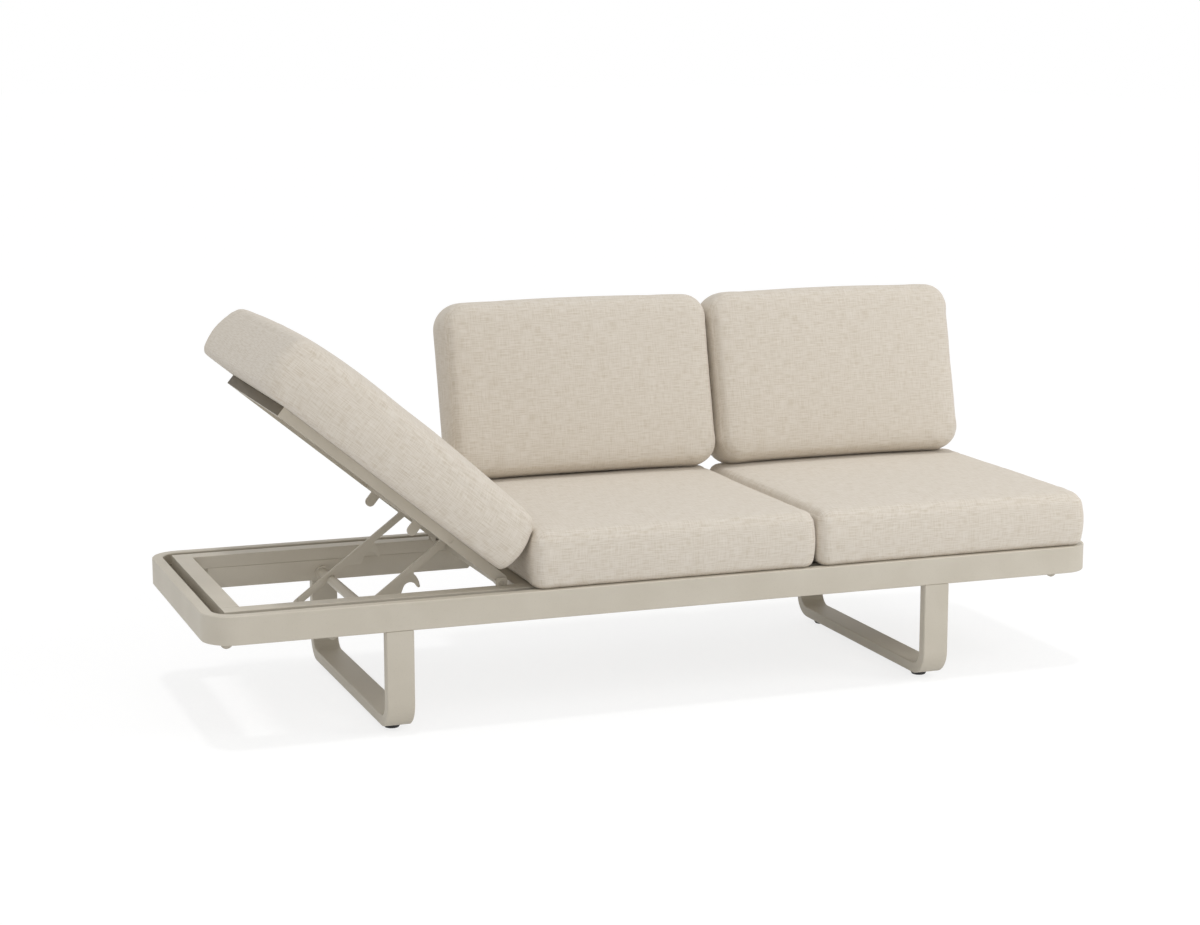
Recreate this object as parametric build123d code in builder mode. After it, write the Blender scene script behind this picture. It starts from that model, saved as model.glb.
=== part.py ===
from build123d import *
import math
import os

os.makedirs("parts", exist_ok=True)

# Base frame, in millimetres
sofa_length = 2300
base_depth = 760
rail_top = 320
band_height = 68
band_wall = 27
band_corner = 75
edge_softness = 2
shadow_gap = 25
rail_width = 45
rail_depth = 32
cross_width = 45
hinge_cross_gap = 33
middle_cross_shift = 1

# Fits and allowances
running_fit = 0.05
soft_gap = 0.3
overrun = 5

# Sled legs and glides
leg_from_end = 452
leg_width = 67
leg_bar = 27
leg_bend = 62
glide_height = 13
glide_radius = 19.5
glide_foot_radius = 17
glide_step = 4
glide_from_edge = 90
stem_radius = 4
stem_length = 15

# Spacers that tie the inner frame to the band
spacer_length = 40
spacer_height = 20
spacer_sink = 10
spacer_count = 5
spacer_end_margin = 198
end_spacer_margin = 158

# Seat slats
slat_width = 60
slat_thickness = 10
slat_sink = 3
slats_per_seat = 7
slat_margin = 45

# Recliner frame, hinged at its lower end
recline_angle = 39.5
hinge_from_end = 729
hinge_over_rail = 6
tube = 25
top_over_hinge = 20
recliner_reach = 685
recliner_side_gap = 3.5
knuckle_radius = 11
stile_end = 9
hinge_bolt_radius = 4
hinge_bolt_head = 5.5
hinge_bolt_head_height = 4
hinge_bolt_grip = 20
ear_width = 28
ear_thickness = 5
ear_height = 19
ear_corner = 8

# Slats and the guide bar of the recliner
recliner_slat_width = 40
recliner_slat_thickness = 8
first_recliner_slat = 60
recliner_slat_margin = 20
recliner_slats_above = 4
guide_bar_start = 215
lug_depth = 35
lug_thickness = 6
lug_arm_gap = 2

# Prop arms and the tube that they drop onto
pivot_along = 164.8
pivot_over = 7.5
rod_radius = 6
rod_end_gap = 2
arm_slope = 36.9
arm_thickness = 8
arm_stile_gap = 66.5
arm_head_radius = 12
arm_bar_offset = 24.5
arm_bar_depth = 16.5
arm_neck_along = 22
arm_reach = 362
arm_turn = 70.1
ratchet_from_hinge = 299
ratchet_under_rail = 65
ratchet_radius = 12.5
ratchet_wall = 2.5
seat_clearance = 0.5
flat_seat_clearance = 3
seat_lead_in = 6
finger_width = 15
hook_heel = 23
hook_heel_depth = 13
hook_toe = 44
boss_radius = 19
boss_length = 8

# Side plates that carry the ratchet tube
side_plate_height = 52
side_plate_thickness = 5
side_plate_margin = 190
side_plate_length = 660
plate_nose = 30

# Link brackets under the corners of the inner frame
link_end_margin = 13
link_width = 30
link_thickness = 5
link_rail_gap = 8
link_drop = 67
link_bore_radius = 4.5

# Back frames, one behind each back cushion
back_bend_over_rail = 120
back_lean = 13.5
back_bar = 22
back_member = 32
back_rise = 392
back_foot_over_band = 12
back_corner = 45
back_window_corner = 18
back_slat_width = 30
back_slat_thickness = 8
back_slat_count = 4
back_slat_pitch = 78
back_slat_top = 75
back_inset = 62
back_bolt_radius = 4
back_bolt_head = 7
back_bolt_head_height = 5
back_bolt_bite = 18
back_bolt_margin = 14
back_bolt_pitch = 26

# Cushions
seat_from_hinge = 51
seat_split_shift = 8
seat_end_gap = 20
cushion_seam_gap = 1.5
seat_cushion_height = 127
seat_crown = 13
seat_rear_gap = 4
seat_edge = 20
seat_corner = 28
recline_over_end = 90
recline_from_hinge = 24
recline_side_gap = 10
recline_height = 144
recline_crown = 34
recline_edge = 38
recline_corner = 30
back_cushion_start_gap = 7
back_split_shift = 6
back_cushion_end_gap = 21
back_cushion_height = 466
back_cushion_thickness = 138
back_crown = 14
back_edge = 32
back_cushion_corner = 50
back_cushion_sink = 6
cushion_pull = 5
cushion_bulge = 4
bottom_edge = 9
crown_inset_shares = (0.18, 0.42, 0.78)
crown_rise_shares = (0.45, 0.82, 1)
round_turns = (0, 45, 90)
quarter_turn = 90

# Places that follow from the sizes above
band_bottom = rail_top - band_height
rail_outer_y = base_depth / 2 - band_wall - shadow_gap
rail_inner_y = rail_outer_y - rail_width
inner_end_x = sofa_length / 2 - band_wall - shadow_gap
rail_bottom = rail_top - rail_depth
runner_top = glide_height + leg_bar
leg_x = sofa_length / 2 - leg_from_end
glide_y = base_depth / 2 - glide_from_edge
hinge_x = hinge_from_end - sofa_length / 2
hinge_z = rail_top + hinge_over_rail
hinge_cross_left = hinge_x + hinge_cross_gap
ratchet_x = hinge_x - ratchet_from_hinge
ratchet_z = rail_top - ratchet_under_rail
recliner_outer_y = rail_inner_y - recliner_side_gap
recliner_inner_y = recliner_outer_y - tube
arm_outer_y = recliner_inner_y - arm_stile_gap
lug_inner_y = arm_outer_y + lug_arm_gap
side_plate_left = side_plate_margin - sofa_length / 2
link_x = inner_end_x - link_end_margin
link_inner_y = rail_inner_y - link_rail_gap
seat_left = hinge_x + seat_from_hinge
seat_right = sofa_length / 2 - seat_end_gap
seat_split = (seat_left + seat_right) / 2 - seat_split_shift
middle_cross_x = seat_split - middle_cross_shift
back_cushion_left = seat_left + back_cushion_start_gap
back_split = seat_split + back_split_shift
back_cushion_right = seat_right - back_cushion_end_gap
back_bend_z = rail_top + back_bend_over_rail
back_foot_z = band_bottom + back_foot_over_band
back_reach = (
    back_rise * math.sin(math.radians(back_lean))
    + back_bar * math.cos(math.radians(back_lean))
)
base_y = -back_reach / 2
plan = Plane(origin=(0, base_y, 0))
side_view = Plane(origin=(0, base_y, 0), x_dir=(0, 1, 0), z_dir=(1, 0, 0))


def finish(piece, name):
    """Name a finished piece and write it to its own file."""
    piece.part.label = name
    export_step(piece.part, f"parts/{name}.step")


def block(x_low, x_high, y_low, y_high, z_low, z_high):
    """A square bar between two corners, given from the middle of the base."""
    with BuildSketch(plan.offset(z_low)) as outline:
        with Locations(((x_low + x_high) / 2, (y_low + y_high) / 2)):
            Rectangle(x_high - x_low, y_high - y_low)
    extrude(outline.sketch, amount=z_high - z_low)


# Outer band: one closed ring with round plan corners
back_centres = (
    (back_cushion_left + back_split) / 2,
    (back_split + back_cushion_right) / 2,
)
back_halves = (
    (back_split - back_cushion_left) / 2 - back_inset,
    (back_cushion_right - back_split) / 2 - back_inset,
)
post_places = [
    centre + side * (half - back_member / 2)
    for centre, half in zip(back_centres, back_halves)
    for side in (-1, 1)
]
bolt_heights = (
    back_foot_z + back_bolt_margin,
    back_foot_z + back_bolt_margin + back_bolt_pitch,
)
rear_face = Plane(
    origin=(0, base_y + base_depth / 2, 0), x_dir=(1, 0, 0), z_dir=(0, -1, 0)
)

with BuildPart() as perimeter_band:
    with BuildSketch(plan.offset(band_bottom)):
        RectangleRounded(sofa_length, base_depth, band_corner)
        RectangleRounded(
            sofa_length - band_wall - band_wall,
            base_depth - band_wall - band_wall,
            band_corner - band_wall,
            mode=Mode.SUBTRACT,
        )
    extrude(amount=band_height)
    chamfer(
        perimeter_band.edges().group_by(Axis.Z)[0]
        + perimeter_band.edges().group_by(Axis.Z)[-1],
        length=edge_softness,
    )
    with BuildSketch(rear_face):
        for x in post_places:
            for z in bolt_heights:
                with Locations((x, z)):
                    Circle(back_bolt_radius)
    extrude(amount=back_bolt_bite, mode=Mode.SUBTRACT)
finish(perimeter_band, "perimeter_band")

# Inner frame: two long rails and four cross members, flush with the band
with BuildPart() as front_inner_rail:
    block(-inner_end_x, inner_end_x, -rail_outer_y, -rail_inner_y, rail_bottom, rail_top)
    fillet(front_inner_rail.edges().filter_by(Axis.X), radius=edge_softness)
finish(front_inner_rail, "front_inner_rail")

with BuildPart() as rear_inner_rail:
    block(-inner_end_x, inner_end_x, rail_inner_y, rail_outer_y, rail_bottom, rail_top)
    fillet(rear_inner_rail.edges().filter_by(Axis.X), radius=edge_softness)
finish(rear_inner_rail, "rear_inner_rail")

cross_places = {
    "left_cross_member": -inner_end_x,
    "hinge_cross_member": hinge_cross_left,
    "middle_cross_member": middle_cross_x - cross_width / 2,
    "right_cross_member": inner_end_x - cross_width,
}
for name, left in cross_places.items():
    with BuildPart() as cross_member:
        block(left, left + cross_width, -rail_inner_y, rail_inner_y, rail_bottom, rail_top)
        fillet(cross_member.edges().filter_by(Axis.Y), radius=edge_softness)
    finish(cross_member, name)

# Spacers low in the shadow gap, between the band and the inner frame
spacer_top = rail_top - spacer_sink
spacer_reach = inner_end_x - spacer_end_margin
spacer_pitch = (spacer_reach + spacer_reach) / (spacer_count - 1)
end_spacer_y = rail_outer_y - end_spacer_margin
with BuildPart() as gap_spacers:
    for step in range(spacer_count):
        x = step * spacer_pitch - spacer_reach
        for low in (-rail_outer_y - shadow_gap, rail_outer_y):
            block(
                x - spacer_length / 2, x + spacer_length / 2,
                low, low + shadow_gap,
                spacer_top - spacer_height, spacer_top,
            )
    for low in (-inner_end_x - shadow_gap, inner_end_x):
        for y in (-end_spacer_y, end_spacer_y):
            block(
                low, low + shadow_gap,
                y - spacer_length / 2, y + spacer_length / 2,
                spacer_top - spacer_height, spacer_top,
            )
finish(gap_spacers, "gap_spacers")

# Sled legs: one flat bar each, bent to a wide U under the band
for name, x in (("left_sled_leg", -leg_x), ("right_sled_leg", leg_x)):
    with BuildPart() as sled_leg:
        with BuildSketch(side_view.offset(x - leg_width / 2)):
            with Locations((0, (glide_height + band_bottom) / 2)):
                Rectangle(base_depth, band_bottom - glide_height)
            fillet(vertices().group_by(Axis.Y)[0], radius=leg_bend)
        extrude(amount=leg_width)
        with BuildSketch(side_view.offset(x - leg_width / 2)):
            with Locations((0, (runner_top + band_bottom) / 2)):
                Rectangle(base_depth - leg_bar - leg_bar, band_bottom - runner_top)
            fillet(vertices().group_by(Axis.Y)[0], radius=leg_bend - leg_bar)
        extrude(amount=leg_width, mode=Mode.SUBTRACT)
        chamfer(
            sled_leg.edges().group_by(Axis.X)[0] + sled_leg.edges().group_by(Axis.X)[-1],
            length=edge_softness,
        )
        with BuildSketch(plan.offset(glide_height)):
            with Locations((x, -glide_y), (x, glide_y)):
                Circle(stem_radius)
        extrude(amount=stem_length, mode=Mode.SUBTRACT)
    finish(sled_leg, name)

# Round glides under the runners
with BuildPart() as leg_glides:
    for x in (-leg_x, leg_x):
        for y in (-glide_y, glide_y):
            with BuildSketch(plan):
                with Locations((x, y)):
                    Circle(glide_radius)
            extrude(amount=glide_height)
            with BuildSketch(plan.offset(glide_height)):
                with Locations((x, y)):
                    Circle(stem_radius)
            extrude(amount=stem_length)
    chamfer(leg_glides.edges().group_by(Axis.Z)[0], glide_step, glide_radius - glide_foot_radius)
finish(leg_glides, "leg_glides")

# Flat slats that carry the two seat cushions
slat_bays = {
    "left_seat_slats": (hinge_cross_left + cross_width, middle_cross_x - cross_width / 2),
    "right_seat_slats": (middle_cross_x + cross_width / 2, inner_end_x - cross_width),
}
for name, (bay_left, bay_right) in slat_bays.items():
    pitch = (bay_right - bay_left - slat_margin - slat_margin) / (slats_per_seat - 1)
    with BuildPart() as seat_slats:
        for step in range(slats_per_seat):
            x = bay_left + slat_margin + step * pitch
            block(
                x - slat_width / 2, x + slat_width / 2,
                -rail_inner_y, rail_inner_y,
                rail_top - slat_sink - slat_thickness, rail_top - slat_sink,
            )
    finish(seat_slats, name)

# Side plates under the inner rails, with a drawn-down nose at each end
plate_places = {"front_side_plate": -1, "rear_side_plate": 1}
for name, side in plate_places.items():
    inner_face = side * rail_inner_y
    outward = Plane(
        origin=(0, base_y + inner_face, 0), x_dir=(-side, 0, 0), z_dir=(0, side, 0)
    )
    with BuildPart() as side_plate:
        with BuildSketch(outward):
            with Locations((
                -side * (side_plate_left + side_plate_length / 2),
                rail_bottom - side_plate_height / 2,
            )):
                Rectangle(side_plate_length, side_plate_height)
            chamfer(vertices().group_by(Axis.Y)[0], plate_nose)
        extrude(amount=side_plate_thickness)
    finish(side_plate, name)

# Fixed tube across the recliner bay, which the prop arms drop onto
ratchet_view = Plane(origin=(ratchet_x, base_y, ratchet_z), x_dir=(1, 0, 0), z_dir=(0, 1, 0))
with BuildPart() as ratchet_tube:
    with BuildSketch(ratchet_view.offset(-rail_inner_y)):
        Circle(ratchet_radius)
        Circle(ratchet_radius - ratchet_wall, mode=Mode.SUBTRACT)
    extrude(amount=rail_inner_y + rail_inner_y)
finish(ratchet_tube, "ratchet_tube")

with BuildPart() as tube_end_bosses:
    for start in (-rail_inner_y, rail_inner_y - boss_length):
        with BuildSketch(ratchet_view.offset(start)) as ring:
            Circle(boss_radius)
            Circle(ratchet_radius, mode=Mode.SUBTRACT)
        extrude(ring.sketch, amount=boss_length)
finish(tube_end_bosses, "tube_end_bosses")

# Hinge ears welded on the inner rails, with the hinge bolts through them
ear_view = Plane(origin=(hinge_x, base_y, rail_top), x_dir=(1, 0, 0), z_dir=(0, -1, 0))
ear_places = {"front_hinge_ear": -rail_inner_y, "rear_hinge_ear": rail_inner_y + ear_thickness}
for name, start in ear_places.items():
    with BuildPart() as hinge_ear:
        with BuildSketch(ear_view.offset(-start)):
            with Locations((0, ear_height / 2)):
                Rectangle(ear_width, ear_height)
            fillet(vertices().group_by(Axis.Y)[-1], radius=ear_corner)
            with Locations((0, hinge_z - rail_top)):
                Circle(hinge_bolt_radius, mode=Mode.SUBTRACT)
        extrude(amount=ear_thickness)
    finish(hinge_ear, name)

with BuildPart() as hinge_bolts:
    for side in (-1, 1):
        outward = Plane(
            origin=(hinge_x, base_y + side * rail_inner_y, hinge_z),
            x_dir=(-side, 0, 0), z_dir=(0, side, 0),
        )
        with BuildSketch(outward.offset(-hinge_bolt_grip)) as shank:
            Circle(hinge_bolt_radius)
        extrude(shank.sketch, amount=hinge_bolt_grip + ear_thickness)
        with BuildSketch(outward.offset(ear_thickness)) as head:
            Circle(hinge_bolt_head)
        extrude(head.sketch, amount=hinge_bolt_head_height)
finish(hinge_bolts, "hinge_bolts")

# The recliner frame stands at its highest position, turned about the hinge
lean = math.radians(recline_angle)
along_frame = (-math.cos(lean), 0, math.sin(lean))
over_frame = (math.sin(lean), 0, math.cos(lean))
recliner_side = Plane(
    origin=(hinge_x, base_y, hinge_z), x_dir=along_frame, z_dir=(0, 1, 0)
)
recliner_face = Plane(
    origin=(hinge_x, base_y, hinge_z), x_dir=along_frame, z_dir=over_frame
)
tube_under_hinge = tube - top_over_hinge
tube_middle = top_over_hinge - tube / 2
guide_bar_end = guide_bar_start + tube
upper_slat_span = (
    recliner_reach - tube - recliner_slat_margin - recliner_slat_width - guide_bar_end
)
recliner_slat_pitch = upper_slat_span / recliner_slats_above


def frame_bar(start, end, low, high, half_span):
    """A bar across the recliner, from one distance along it to another."""
    with BuildSketch(recliner_side.offset(-half_span)) as section:
        with Locations(((start + end) / 2, (low + high) / 2)):
            Rectangle(end - start, high - low)
    extrude(section.sketch, amount=half_span + half_span)


stile_places = {
    "front_recliner_stile": -recliner_outer_y,
    "rear_recliner_stile": recliner_inner_y,
}
for name, start in stile_places.items():
    with BuildPart() as stile:
        with BuildSketch(recliner_side.offset(start)):
            with Locations(((recliner_reach - stile_end) / 2, tube_middle)):
                Rectangle(recliner_reach + stile_end, tube)
            fillet(vertices().group_by(Axis.X)[0], radius=stile_end)
            Circle(knuckle_radius)
            Circle(hinge_bolt_radius + running_fit, mode=Mode.SUBTRACT)
            with Locations((pivot_along, pivot_over)):
                Circle(rod_radius + running_fit, mode=Mode.SUBTRACT)
        extrude(amount=tube)
    finish(stile, name)

for name, start in (
    ("recliner_top_rail", recliner_reach - tube),
    ("recliner_guide_rail", guide_bar_start),
):
    with BuildPart() as cross_rail:
        frame_bar(start, start + tube, -tube_under_hinge, top_over_hinge, recliner_inner_y)
    finish(cross_rail, name)

with BuildPart() as recliner_slats:
    slat_starts = [first_recliner_slat] + [
        guide_bar_end + step * recliner_slat_pitch
        for step in range(1, recliner_slats_above + 1)
    ]
    for start in slat_starts:
        frame_bar(
            start, start + recliner_slat_width,
            top_over_hinge - recliner_slat_thickness, top_over_hinge,
            recliner_inner_y,
        )
finish(recliner_slats, "recliner_slats")

# Rounded tabs under the guide rail, one beside each prop arm
with BuildPart() as arm_guide_lugs:
    for start in (-lug_inner_y - lug_thickness, lug_inner_y):
        with BuildSketch(recliner_side.offset(start)) as tab:
            with Locations((
                guide_bar_start + tube / 2,
                -tube_under_hinge - lug_depth / 2,
            )):
                Rectangle(tube, lug_depth)
            fillet(vertices().group_by(Axis.Y)[0], radius=tube / 2 - running_fit)
        extrude(tab.sketch, amount=lug_thickness)
finish(arm_guide_lugs, "arm_guide_lugs")

# Prop arms: a pivot head, a flat bar, a seat for the raised position and a
# hooked seat for the flat position, drawn along and below the bar
slope = math.radians(arm_slope)
pivot_x = hinge_x + pivot_along * along_frame[0] + pivot_over * over_frame[0]
pivot_z = hinge_z + pivot_along * along_frame[2] + pivot_over * over_frame[2]


def tube_from_pivot(lowered):
    """Where the ratchet tube lies in the arm's own frame, the recliner lowered by some degrees."""
    turn = math.radians(lowered)
    arm_turned = math.radians(lowered * (arm_turn / recline_angle - 1))
    reach_x, reach_z = pivot_x - hinge_x, pivot_z - hinge_z
    now_x = hinge_x + reach_x * math.cos(turn) - reach_z * math.sin(turn)
    now_z = hinge_z + reach_x * math.sin(turn) + reach_z * math.cos(turn)
    heading = math.pi + slope - arm_turned
    away_x, away_z = ratchet_x - now_x, ratchet_z - now_z
    return (
        away_x * math.cos(heading) + away_z * math.sin(heading),
        away_z * math.cos(heading) - away_x * math.sin(heading),
    )


raised_seat = tube_from_pivot(0)
flat_seat = tube_from_pivot(recline_angle)
way_out = tube_from_pivot(seat_lead_in)
lead_length = math.dist(raised_seat, way_out)
lead_angle = math.degrees(
    math.atan2(way_out[1] - raised_seat[1], way_out[0] - raised_seat[0])
)
lead_middle = ((raised_seat[0] + way_out[0]) / 2, (raised_seat[1] + way_out[1]) / 2)
arm_bar_low = arm_bar_offset + arm_bar_depth / 2
flat_seat_radius = ratchet_radius + flat_seat_clearance
raised_seat_radius = ratchet_radius + seat_clearance
finger_x = flat_seat[0] - flat_seat_radius - finger_width / 2
arm_view_x = (-math.cos(slope), 0, -math.sin(slope))
arm_places = {
    "front_prop_arm": -arm_outer_y + arm_thickness,
    "rear_prop_arm": arm_outer_y,
}
for name, start in arm_places.items():
    arm_view = Plane(
        origin=(pivot_x, base_y + start, pivot_z), x_dir=arm_view_x, z_dir=(0, -1, 0)
    )
    with BuildPart() as prop_arm:
        with BuildSketch(arm_view):
            with BuildSketch(Plane.XY) as neck:
                Circle(arm_head_radius)
                with Locations((arm_neck_along, arm_bar_offset)):
                    Circle(arm_bar_depth / 2)
                make_hull()
            with Locations(((arm_neck_along + arm_reach - arm_bar_depth / 2) / 2, arm_bar_offset)):
                SlotCenterToCenter(
                    arm_reach - arm_bar_depth / 2 - arm_neck_along, arm_bar_depth
                )
            with Locations((finger_x, (arm_bar_offset + flat_seat[1]) / 2)):
                SlotCenterToCenter(
                    flat_seat[1] - arm_bar_offset, finger_width, rotation=quarter_turn
                )
            with BuildLine(Plane.XY):
                Polyline(
                    (finger_x, arm_bar_low),
                    (finger_x, flat_seat[1]),
                    (flat_seat[0] + hook_heel, arm_bar_low + hook_heel_depth),
                    (flat_seat[0] + hook_toe, arm_bar_low),
                    close=True,
                )
            make_face()
            with Locations(flat_seat):
                Circle(flat_seat_radius, mode=Mode.SUBTRACT)
            with Locations(lead_middle):
                SlotCenterToCenter(
                    lead_length, raised_seat_radius + raised_seat_radius,
                    rotation=lead_angle, mode=Mode.SUBTRACT,
                )
            Circle(rod_radius, mode=Mode.SUBTRACT)
        extrude(amount=arm_thickness)
    finish(prop_arm, name)

# Rod that the two arms turn on, running in both recliner stiles
with BuildPart() as arm_pivot_rod:
    rod_half = recliner_outer_y - rod_end_gap
    pivot_view = Plane(
        origin=(pivot_x, base_y - rod_half, pivot_z), x_dir=(1, 0, 0), z_dir=(0, 1, 0)
    )
    with BuildSketch(pivot_view):
        Circle(rod_radius)
    extrude(amount=rod_half + rod_half)
finish(arm_pivot_rod, "arm_pivot_rod")

# Link brackets that hang under the corners of the inner frame
with BuildPart() as link_brackets:
    for x in (-link_x, link_x):
        for start in (-link_inner_y - link_thickness, link_inner_y):
            link_view = Plane(
                origin=(x, base_y + start, rail_bottom), x_dir=(1, 0, 0), z_dir=(0, 1, 0)
            )
            with BuildSketch(link_view) as tab:
                with Locations((0, link_drop / 2)):
                    Rectangle(link_width, link_drop)
                fillet(vertices().group_by(Axis.Y)[-1], radius=link_width / 2 - running_fit)
                with Locations((0, link_drop - link_width / 2)):
                    Circle(link_bore_radius, mode=Mode.SUBTRACT)
            extrude(tab.sketch, amount=link_thickness)
finish(link_brackets, "link_brackets")

# Back frames: a flat hoop that stands on the rear of the band and leans back
lean_back = math.radians(back_lean)
up_back = (0, math.sin(lean_back), math.cos(lean_back))
rear_y = base_depth / 2
back_face = Plane(
    origin=(0, base_y + rear_y, back_bend_z), x_dir=(1, 0, 0),
    z_dir=(0, -math.cos(lean_back), math.sin(lean_back)),
)
bend_shift = back_bar * math.tan(lean_back / 2)
back_frame_names = (("left_back_frame", "left_back_slats"), ("right_back_frame", "right_back_slats"))
for (frame_name, slats_name), centre, half in zip(back_frame_names, back_centres, back_halves):
    with BuildPart() as back_frame:
        with BuildSketch(side_view.offset(centre - half - overrun)):
            with BuildLine():
                Polyline(
                    (rear_y, back_foot_z),
                    (rear_y, back_bend_z),
                    (rear_y + back_rise * up_back[1], back_bend_z + back_rise * up_back[2]),
                    (
                        rear_y + back_rise * up_back[1] + back_bar * up_back[2],
                        back_bend_z + back_rise * up_back[2] - back_bar * up_back[1],
                    ),
                    (rear_y + back_bar, back_bend_z - bend_shift),
                    (rear_y + back_bar, back_foot_z),
                    close=True,
                )
            make_face()
        extrude(amount=half + half + overrun + overrun)
        with BuildSketch(back_face.offset(overrun)) as outline:
            outline_height = back_rise + back_bend_z
            with Locations((centre, back_rise - outline_height / 2)):
                Rectangle(half + half, outline_height)
            fillet(vertices().group_by(Axis.Y)[-1], radius=back_corner)
        extrude(
            outline.sketch, amount=-back_reach - back_bar - overrun, mode=Mode.INTERSECT
        )
        with BuildSketch(back_face.offset(overrun)) as window:
            window_height = outline_height - back_member
            with Locations((centre, back_rise - back_member - window_height / 2)):
                Rectangle(half + half - back_member - back_member, window_height)
            fillet(vertices().group_by(Axis.Y)[-1], radius=back_window_corner)
        extrude(
            window.sketch, amount=-back_reach - back_bar - overrun, mode=Mode.SUBTRACT
        )
        with BuildSketch(rear_face.offset(overrun)) as holes:
            for side in (-1, 1):
                for z in bolt_heights:
                    with Locations((centre + side * (half - back_member / 2), z)):
                        Circle(back_bolt_radius)
        extrude(holes.sketch, amount=-back_bar - overrun - overrun, mode=Mode.SUBTRACT)
    finish(back_frame, frame_name)

    inner_half = half - back_member
    with BuildPart() as back_slats:
        for step in range(back_slat_count):
            with BuildSketch(back_face) as slat:
                with Locations((
                    centre,
                    back_rise - back_member - back_slat_top - step * back_slat_pitch,
                )):
                    Rectangle(inner_half + inner_half, back_slat_width)
            extrude(slat.sketch, amount=-back_slat_thickness)
    finish(back_slats, slats_name)

with BuildPart() as back_frame_bolts:
    for x in post_places:
        for z in bolt_heights:
            bolt_view = rear_face.offset(-back_bar)
            with BuildSketch(bolt_view) as shank:
                with Locations((x, z)):
                    Circle(back_bolt_radius)
            extrude(shank.sketch, amount=back_bar + back_bolt_bite)
            with BuildSketch(bolt_view) as head:
                with Locations((x, z)):
                    Circle(back_bolt_head)
            extrude(head.sketch, amount=-back_bolt_head_height)
finish(back_frame_bolts, "back_frame_bolts")


# Cushions: rounded slabs with drawn-in sides and a crowned top
def cushion_outline(length, width, corner, inset, pull):
    """A rectangle with round corners whose four sides are drawn in a little."""
    half_x, half_y = length / 2 - inset, width / 2 - inset
    turned = corner * (1 - math.cos(math.radians(quarter_turn / 2)))
    with BuildLine() as outline:
        for (x0, y0), (xm, ym), (x1, y1), (xc, yc), (x2, y2) in (
            (
                (corner - half_x, -half_y), (0, pull - half_y), (half_x - corner, -half_y),
                (half_x - turned, turned - half_y), (half_x, corner - half_y),
            ),
            (
                (half_x, corner - half_y), (half_x - pull, 0), (half_x, half_y - corner),
                (half_x - turned, half_y - turned), (half_x - corner, half_y),
            ),
            (
                (half_x - corner, half_y), (0, half_y - pull), (corner - half_x, half_y),
                (turned - half_x, half_y - turned), (-half_x, half_y - corner),
            ),
            (
                (-half_x, half_y - corner), (pull - half_x, 0), (-half_x, corner - half_y),
                (turned - half_x, turned - half_y), (corner - half_x, -half_y),
            ),
        ):
            ThreePointArc((x0, y0), (xm, ym), (x1, y1))
            ThreePointArc((x1, y1), (xc, yc), (x2, y2))
    return outline.line.edges()


def cushion_form(base, length, width, height, crown, edge, round_corner):
    """Loft the slab through outlines from its flat bottom to its crown."""
    levels = [
        (
            bottom_edge * (1 - math.cos(math.radians(turn))),
            cushion_bulge + bottom_edge * (1 - math.sin(math.radians(turn))),
        )
        for turn in round_turns
    ]
    levels.append(((height + bottom_edge - edge) / 2, 0))
    levels += [
        (
            height - edge + edge * math.sin(math.radians(turn)),
            cushion_bulge + edge * (1 - math.cos(math.radians(turn))),
        )
        for turn in round_turns
    ]
    reach = min(length, width) / 2 - edge - cushion_bulge
    levels += [
        (height + crown * rise, cushion_bulge + edge + reach * share)
        for share, rise in zip(crown_inset_shares, crown_rise_shares)
    ]
    outlines = []
    for lift, inset in levels:
        corner = min(round_corner, (min(length, width) / 2 - inset) / 2)
        with BuildSketch(base.offset(lift)) as level:
            make_face(cushion_outline(length, width, corner, inset, cushion_pull))
        outlines.append(level.sketch)
    loft(outlines, ruled=True)


seat_front = -base_depth / 2
seat_rear = base_depth / 2 - seat_rear_gap
recline_half_width = base_depth / 2 - recline_side_gap
seat_floor = rail_top + soft_gap
seat_spans = {
    "left_seat_cushion": (seat_left, seat_split - cushion_seam_gap),
    "right_seat_cushion": (seat_split, seat_right),
}
for name, (left, right) in seat_spans.items():
    with BuildPart() as seat_cushion:
        cushion_form(
            Plane(origin=((left + right) / 2, base_y + (seat_front + seat_rear) / 2, seat_floor)),
            right - left, seat_rear - seat_front,
            seat_cushion_height, seat_crown, seat_edge, seat_corner,
        )
    finish(seat_cushion, name)

recline_length = recliner_reach + recline_over_end - recline_from_hinge
with BuildPart() as recline_cushion:
    recline_base = Plane(
        origin=recliner_face.from_local_coords(
            (recline_from_hinge + recline_length / 2, 0, top_over_hinge + soft_gap)
        ),
        x_dir=along_frame, z_dir=over_frame,
    )
    cushion_form(
        recline_base, recline_length, recline_half_width + recline_half_width,
        recline_height, recline_crown, recline_edge, recline_corner,
    )
finish(recline_cushion, "recline_cushion")

back_spans = {
    "left_back_cushion": (back_cushion_left, back_split - cushion_seam_gap),
    "right_back_cushion": (back_split + cushion_seam_gap, back_cushion_right),
}
for name, (left, right) in back_spans.items():
    with BuildPart() as back_cushion:
        cushion_form(
            Plane(
                origin=back_face.from_local_coords(
                    ((left + right) / 2, back_cushion_sink + back_cushion_height / 2, soft_gap)
                ),
                x_dir=(1, 0, 0), z_dir=back_face.z_dir,
            ),
            right - left, back_cushion_height,
            back_cushion_thickness, back_crown, back_edge, back_cushion_corner,
        )
    finish(back_cushion, name)
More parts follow.
